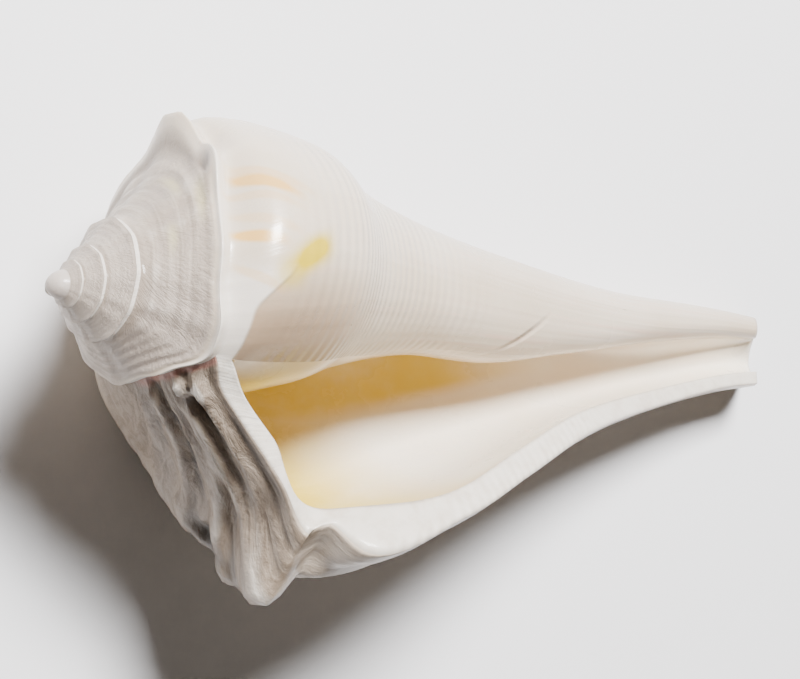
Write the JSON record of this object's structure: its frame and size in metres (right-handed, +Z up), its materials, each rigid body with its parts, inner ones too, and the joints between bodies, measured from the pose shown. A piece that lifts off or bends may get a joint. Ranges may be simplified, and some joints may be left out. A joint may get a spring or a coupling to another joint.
{
  "type": "shankha shell",
  "caption": "Whole left-handed whelk shell lying on its back, with a knobbed shoulder, a low coiled spire, a wide opening with a thick lip and a long open canal.",
  "frame": {"origin": "centre of the footprint, on the surface that the shell lies on", "axes": "+X along the shell, apex at -X and canal end at +X; +Z up, the opening faces +Z"},
  "size_m": [0.1395, 0.0634, 0.0513],
  "materials": {
    "shell": "waxy, half gloss"
  },
  "bodies": {
    "root": {"shell": "shell"}
  },
  "joints": []
}
